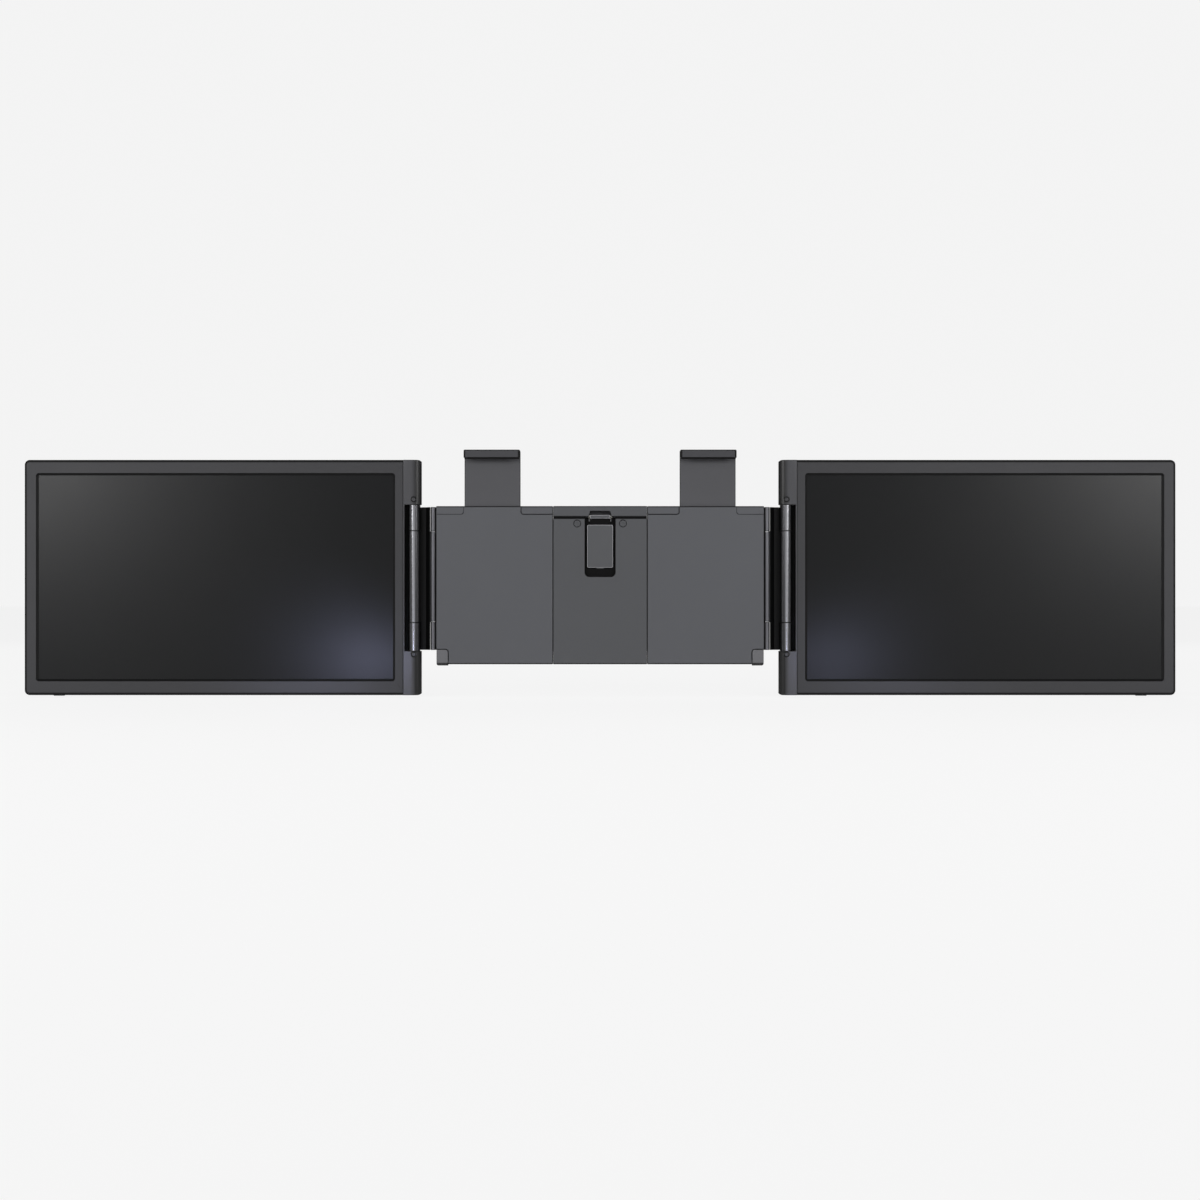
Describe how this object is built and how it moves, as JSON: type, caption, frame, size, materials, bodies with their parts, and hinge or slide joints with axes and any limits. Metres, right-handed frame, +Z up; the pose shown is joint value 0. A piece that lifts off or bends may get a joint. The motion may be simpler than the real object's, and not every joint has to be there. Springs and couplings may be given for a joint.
{
  "type": "laptop screen extender",
  "caption": "Telescoping bracket that hooks over a laptop lid, with a hinged flat display on each side, sprung top clamps, fold-out lower hooks, a slide lock and a rear stand.",
  "frame": {"origin": "middle of the centre section's front face, where the back of the laptop's lid rests", "axes": "+X to the viewer's right along the screens, +Y away from the viewer, +Z up"},
  "size_m": [0.96, 0.0253, 0.2048],
  "materials": {
    "panel_paint": "fine satin, dark grey",
    "clamp_paint": "fine satin, dark grey",
    "lock_paint": "satin, dark grey",
    "hook_paint": "satin, mid grey",
    "barrel_paint": "semi-gloss, near black",
    "stand_metal": "satin, dark grey",
    "plate_steel": "brushed",
    "bright_steel": "ground",
    "port_steel": "bright plate",
    "black_steel": "black oxide",
    "bezel_plastic": "fine matte, charcoal",
    "rear_plastic": "fine matte, charcoal",
    "black_plastic": "matte black",
    "white_plastic": "natural",
    "rubber": "matte",
    "display": "anti-glare black",
    "board": "solder mask"
  },
  "bodies": {
    "centre": {"centre_front_plate": "panel_paint", "centre_rear_shell": "rear_plastic", "centre_top_trim": "panel_paint", "centre_screws": "black_steel", "slide_guides": "white_plastic", "lock_pocket": "black_plastic", "lock_spring": "bright_steel", "kickstand_pin": "bright_steel"},
    "lock": {"lock_slider": "lock_paint", "lock_shoe": "rubber"},
    "kickstand": {"kickstand": "stand_metal", "kickstand_foot": "rubber"},
    "wing_left": {"wing_front_cover_left": "panel_paint", "wing_rear_cover_left": "rear_plastic", "wing_screws_left": "black_steel", "slide_plate_left": "plate_steel", "hinge_leaf_left": "barrel_paint", "link_pin_left": "bright_steel", "hook_pin_left": "bright_steel", "clamp_spring_left": "bright_steel"},
    "clamp_left": {"clamp_plate_left": "clamp_paint", "clamp_pad_left": "rubber"},
    "hook_left": {"lower_hook_left": "hook_paint"},
    "link_left": {"link_arm_left": "barrel_paint"},
    "screen_left": {"screen_bezel_left": "bezel_plastic", "screen_rear_cover_left": "rear_plastic", "hinge_spine_left": "bezel_plastic", "screen_shaft_left": "bright_steel", "barrel_sleeves_left": "barrel_paint", "display_panel_left": "display", "backlight_left": "white_plastic", "driver_board_left": "board", "port_shells_left": "port_steel", "screen_screws_left": "black_steel"},
    "key_left": {"control_key_left": "black_plastic"},
    "wing_right": {"wing_front_cover_right": "panel_paint", "wing_rear_cover_right": "rear_plastic", "wing_screws_right": "black_steel", "slide_plate_right": "plate_steel", "hinge_leaf_right": "barrel_paint", "link_pin_right": "bright_steel", "hook_pin_right": "bright_steel", "clamp_spring_right": "bright_steel"},
    "clamp_right": {"clamp_plate_right": "clamp_paint", "clamp_pad_right": "rubber"},
    "hook_right": {"lower_hook_right": "hook_paint"},
    "link_right": {"link_arm_right": "barrel_paint"},
    "screen_right": {"screen_bezel_right": "bezel_plastic", "screen_rear_cover_right": "rear_plastic", "hinge_spine_right": "bezel_plastic", "screen_shaft_right": "bright_steel", "barrel_sleeves_right": "barrel_paint", "display_panel_right": "display", "backlight_right": "white_plastic", "driver_board_right": "board", "port_shells_right": "port_steel", "screen_screws_right": "black_steel"},
    "key_right": {"control_key_right": "black_plastic"}
  },
  "joints": [
    {"name": "lock_slide", "type": "slide", "parent": "centre", "child": "lock", "axis": [0, 0, -1], "range_m": [0, 0.006], "stiffness_N_per_m": 400, "springref_m": -0.006, "deforming": ["lock_spring"]},
    {"name": "kickstand_hinge", "type": "hinge", "parent": "centre", "child": "kickstand", "pos_m": [0, 0.0138, 0.04], "axis": [1, 0, 0], "range_deg": [0, 60]},
    {"name": "wing_left_slide", "type": "slide", "parent": "centre", "child": "wing_left", "axis": [-1, 0, 0], "range_m": [0, 0.04]},
    {"name": "clamp_left_slide", "type": "slide", "parent": "wing_left", "child": "clamp_left", "axis": [0, 0, 1], "range_m": [0, 0.075], "stiffness_N_per_m": 60, "springref_m": -0.15, "deforming": ["clamp_spring_left"]},
    {"name": "hook_left_hinge", "type": "hinge", "parent": "wing_left", "child": "hook_left", "pos_m": [-0.1318, 0.0032, -0.0638], "axis": [-1, 0, 0], "range_deg": [-90, 0]},
    {"name": "link_left_hinge", "type": "hinge", "parent": "wing_left", "child": "link_left", "pos_m": [-0.1395, 0.0017, 0], "axis": [0, 0, 1], "range_deg": [0, 25]},
    {"name": "screen_left_hinge", "type": "hinge", "parent": "link_left", "child": "screen_left", "pos_m": [-0.1554, 0.0017, 0], "axis": [0, 0, 1], "range_deg": [-45, 155]},
    {"name": "key_left_press", "type": "slide", "parent": "screen_left", "child": "key_left", "axis": [0, 0, 1], "range_m": [0, 0.0005], "stiffness_N_per_m": 600, "springref_m": -0.001},
    {"name": "wing_right_slide", "type": "slide", "parent": "centre", "child": "wing_right", "axis": [1, 0, 0], "range_m": [0, 0.04]},
    {"name": "clamp_right_slide", "type": "slide", "parent": "wing_right", "child": "clamp_right", "axis": [0, 0, 1], "range_m": [0, 0.075], "stiffness_N_per_m": 60, "springref_m": -0.15, "deforming": ["clamp_spring_right"]},
    {"name": "hook_right_hinge", "type": "hinge", "parent": "wing_right", "child": "hook_right", "pos_m": [0.1318, 0.0032, -0.0638], "axis": [-1, 0, 0], "range_deg": [-90, 0]},
    {"name": "link_right_hinge", "type": "hinge", "parent": "wing_right", "child": "link_right", "pos_m": [0.1395, 0.0017, 0], "axis": [0, 0, -1], "range_deg": [0, 90]},
    {"name": "screen_right_hinge", "type": "hinge", "parent": "link_right", "child": "screen_right", "pos_m": [0.1554, 0.0017, 0], "axis": [0, 0, -1], "range_deg": [-45, 90]},
    {"name": "key_right_press", "type": "slide", "parent": "screen_right", "child": "key_right", "axis": [0, 0, 1], "range_m": [0, 0.0005], "stiffness_N_per_m": 600, "springref_m": -0.001}
  ]
}
